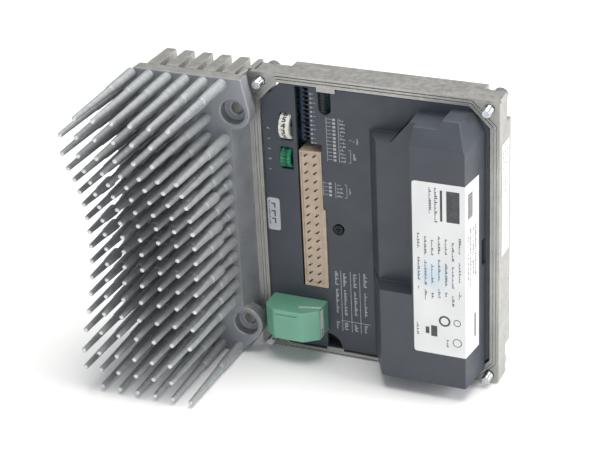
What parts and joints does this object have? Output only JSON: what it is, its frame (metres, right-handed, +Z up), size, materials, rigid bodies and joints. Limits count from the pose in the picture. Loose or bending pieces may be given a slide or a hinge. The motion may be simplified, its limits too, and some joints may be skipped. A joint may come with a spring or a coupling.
{
  "type": "servo drive electronics unit",
  "caption": "Motor-mounted drive electronics unit: a die-cast tray with an offset pin heat sink, inner cover, setting switches, plug-in module and captive screws.",
  "frame": {"origin": "centre of the four cover screws, on the plane of the sealing rim", "axes": "+X to the right with the heat sink on the left, +Y to the back of the tray, away from the open side, +Z up along the unit's long side"},
  "size_m": [0.2136, 0.1038, 0.166],
  "materials": {
    "cast_tray": "as cast, satin",
    "cast_heatsink": "as cast, shot blasted",
    "plated_steel": "zinc plated",
    "spring_steel": "zinc plated",
    "black_moulding": "moulded, fine texture",
    "dark_screw": "blackened",
    "control_laminate": "solder resist",
    "power_laminate": "solder resist",
    "cream_moulding": "moulded",
    "tinned_contact": "tinned",
    "switch_blue": "moulded",
    "switch_white": "moulded",
    "wheel_green": "moulded",
    "module_green": "moulded, matte",
    "capacitor_sleeve": "shrink sleeve",
    "ferrite": "sintered",
    "winding": "enamelled copper wire",
    "relay_blue": "moulded",
    "moulded_package": "moulded epoxy",
    "thermal_pad": "filled silicone",
    "plug_plastic": "moulded",
    "seal_rubber": "moulded",
    "clear_plastic": "polished",
    "label_film": "printed film"
  },
  "bodies": {
    "housing": {"housing_tray": "cast_tray", "heatsink_plate": "cast_heatsink", "cooling_fins": "cast_heatsink", "cooling_pins": "cast_heatsink", "inner_cover": "black_moulding", "cover_screw": "dark_screw", "control_board": "control_laminate", "power_board": "power_laminate", "board_screws": "plated_steel", "board_link": "black_moulding", "signal_connector": "cream_moulding", "connector_contacts": "tinned_contact", "dip_switch_bodies": "switch_blue", "wheel_bracket": "black_moulding", "module_socket": "black_moulding", "dc_link_capacitors": "capacitor_sleeve", "choke_core": "ferrite", "choke_winding": "winding", "transformer_core": "ferrite", "transformer_winding": "winding", "brake_relay": "relay_blue", "power_module": "moulded_package", "thermal_pad": "thermal_pad", "potentiometer_body": "switch_blue", "diagnostic_socket": "black_moulding", "status_led": "clear_plastic", "light_guide": "clear_plastic", "type_label": "label_film", "test_label": "label_film", "side_label": "label_film"},
    "washer_tl": {"lock_washer_tl": "spring_steel"},
    "screw_tl": {"captive_screw_tl": "plated_steel"},
    "washer_tr": {"lock_washer_tr": "spring_steel"},
    "screw_tr": {"captive_screw_tr": "plated_steel"},
    "washer_bl": {"lock_washer_bl": "spring_steel"},
    "screw_bl": {"captive_screw_bl": "plated_steel"},
    "washer_br": {"lock_washer_br": "spring_steel"},
    "screw_br": {"captive_screw_br": "plated_steel"},
    "slider_1": {"dip_slider_1": "switch_white"},
    "slider_2": {"dip_slider_2": "switch_white"},
    "slider_3": {"dip_slider_3": "switch_white"},
    "slider_4": {"dip_slider_4": "switch_white"},
    "slider_5": {"dip_slider_5": "switch_white"},
    "slider_6": {"dip_slider_6": "switch_white"},
    "slider_7": {"dip_slider_7": "switch_white"},
    "slider_8": {"dip_slider_8": "switch_white"},
    "slider_9": {"dip_slider_9": "switch_white"},
    "slider_10": {"dip_slider_10": "switch_white"},
    "slider_11": {"dip_slider_11": "switch_white"},
    "slider_12": {"dip_slider_12": "switch_white"},
    "setpoint_wheel": {"setpoint_wheel": "switch_white"},
    "ramp_wheel": {"ramp_wheel": "wheel_green"},
    "plug_in_module": {"module_shell": "module_green", "module_board": "control_laminate", "module_pins": "tinned_contact"},
    "potentiometer_rotor": {"potentiometer_rotor": "switch_white"},
    "potentiometer_seal": {"potentiometer_seal": "seal_rubber"},
    "potentiometer_plug": {"potentiometer_plug": "plug_plastic"},
    "diagnostic_seal": {"diagnostic_seal": "seal_rubber"},
    "diagnostic_plug": {"diagnostic_plug": "plug_plastic"}
  },
  "joints": [
    {"name": "screw_tl_lift", "type": "slide", "parent": "housing", "child": "washer_tl", "axis": [0, 1, 0], "range_m": [0, 0.0072]},
    {"name": "screw_tl_turn", "type": "hinge", "parent": "washer_tl", "child": "screw_tl", "pos_m": [-0.063, 0.0145, 0.078], "axis": [0, 1, 0], "range_deg": [0, 3240]},
    {"name": "screw_tr_lift", "type": "slide", "parent": "housing", "child": "washer_tr", "axis": [0, 1, 0], "range_m": [0, 0.0072]},
    {"name": "screw_tr_turn", "type": "hinge", "parent": "washer_tr", "child": "screw_tr", "pos_m": [0.063, 0.0145, 0.078], "axis": [0, 1, 0], "range_deg": [0, 3240]},
    {"name": "screw_bl_lift", "type": "slide", "parent": "housing", "child": "washer_bl", "axis": [0, 1, 0], "range_m": [0, 0.0072]},
    {"name": "screw_bl_turn", "type": "hinge", "parent": "washer_bl", "child": "screw_bl", "pos_m": [-0.063, 0.0145, -0.078], "axis": [0, 1, 0], "range_deg": [0, 3240]},
    {"name": "screw_br_lift", "type": "slide", "parent": "housing", "child": "washer_br", "axis": [0, 1, 0], "range_m": [0, 0.0072]},
    {"name": "screw_br_turn", "type": "hinge", "parent": "washer_br", "child": "screw_br", "pos_m": [0.063, 0.0145, -0.078], "axis": [0, 1, 0], "range_deg": [0, 3240]},
    {"name": "slider_1_slide", "type": "slide", "parent": "housing", "child": "slider_1", "axis": [1, 0, 0], "range_m": [0, 0.0012]},
    {"name": "slider_2_slide", "type": "slide", "parent": "housing", "child": "slider_2", "axis": [1, 0, 0], "range_m": [0, 0.0012]},
    {"name": "slider_3_slide", "type": "slide", "parent": "housing", "child": "slider_3", "axis": [1, 0, 0], "range_m": [0, 0.0012]},
    {"name": "slider_4_slide", "type": "slide", "parent": "housing", "child": "slider_4", "axis": [1, 0, 0], "range_m": [0, 0.0012]},
    {"name": "slider_5_slide", "type": "slide", "parent": "housing", "child": "slider_5", "axis": [1, 0, 0], "range_m": [0, 0.0012]},
    {"name": "slider_6_slide", "type": "slide", "parent": "housing", "child": "slider_6", "axis": [1, 0, 0], "range_m": [0, 0.0012]},
    {"name": "slider_7_slide", "type": "slide", "parent": "housing", "child": "slider_7", "axis": [1, 0, 0], "range_m": [0, 0.0012]},
    {"name": "slider_8_slide", "type": "slide", "parent": "housing", "child": "slider_8", "axis": [1, 0, 0], "range_m": [0, 0.0012]},
    {"name": "slider_9_slide", "type": "slide", "parent": "housing", "child": "slider_9", "axis": [1, 0, 0], "range_m": [0, 0.0012]},
    {"name": "slider_10_slide", "type": "slide", "parent": "housing", "child": "slider_10", "axis": [1, 0, 0], "range_m": [0, 0.0012]},
    {"name": "slider_11_slide", "type": "slide", "parent": "housing", "child": "slider_11", "axis": [1, 0, 0], "range_m": [0, 0.0012]},
    {"name": "slider_12_slide", "type": "slide", "parent": "housing", "child": "slider_12", "axis": [1, 0, 0], "range_m": [0, 0.0012]},
    {"name": "setpoint_turn", "type": "hinge", "parent": "housing", "child": "setpoint_wheel", "pos_m": [-0.0499, 0.0044, 0.0528], "axis": [1, 0, 0], "range_deg": [-112.5, 112.5]},
    {"name": "ramp_turn", "type": "hinge", "parent": "housing", "child": "ramp_wheel", "pos_m": [-0.0503, 0.0044, 0.0345], "axis": [1, 0, 0], "range_deg": [-112.5, 112.5]},
    {"name": "module_pull", "type": "slide", "parent": "housing", "child": "plug_in_module", "axis": [0, -1, 0], "range_m": [0, 0.012]},
    {"name": "potentiometer_turn", "type": "hinge", "parent": "housing", "child": "potentiometer_rotor", "pos_m": [-0.037, 0.017, 0.038], "axis": [0, 1, 0], "range_deg": [-135, 135]},
    {"name": "potentiometer_plug_lift", "type": "slide", "parent": "housing", "child": "potentiometer_seal", "axis": [0, 1, 0], "range_m": [0, 0.006]},
    {"name": "potentiometer_plug_turn", "type": "hinge", "parent": "potentiometer_seal", "child": "potentiometer_plug", "pos_m": [-0.037, 0.0245, 0.038], "axis": [0, 1, 0], "range_deg": [0, 1440]},
    {"name": "diagnostic_plug_lift", "type": "slide", "parent": "housing", "child": "diagnostic_seal", "axis": [0, 1, 0], "range_m": [0, 0.006]},
    {"name": "diagnostic_plug_turn", "type": "hinge", "parent": "diagnostic_seal", "child": "diagnostic_plug", "pos_m": [-0.037, 0.0245, 0.002], "axis": [0, 1, 0], "range_deg": [0, 1440]}
  ],
  "couplings": [
    {"joint": "screw_tl_turn", "follows": "screw_tl_lift", "rad_per_m": 7854},
    {"joint": "screw_tr_turn", "follows": "screw_tr_lift", "rad_per_m": 7854},
    {"joint": "screw_bl_turn", "follows": "screw_bl_lift", "rad_per_m": 7854},
    {"joint": "screw_br_turn", "follows": "screw_br_lift", "rad_per_m": 7854},
    {"joint": "potentiometer_plug_turn", "follows": "potentiometer_plug_lift", "rad_per_m": 4188.8},
    {"joint": "diagnostic_plug_turn", "follows": "diagnostic_plug_lift", "rad_per_m": 4188.8}
  ]
}
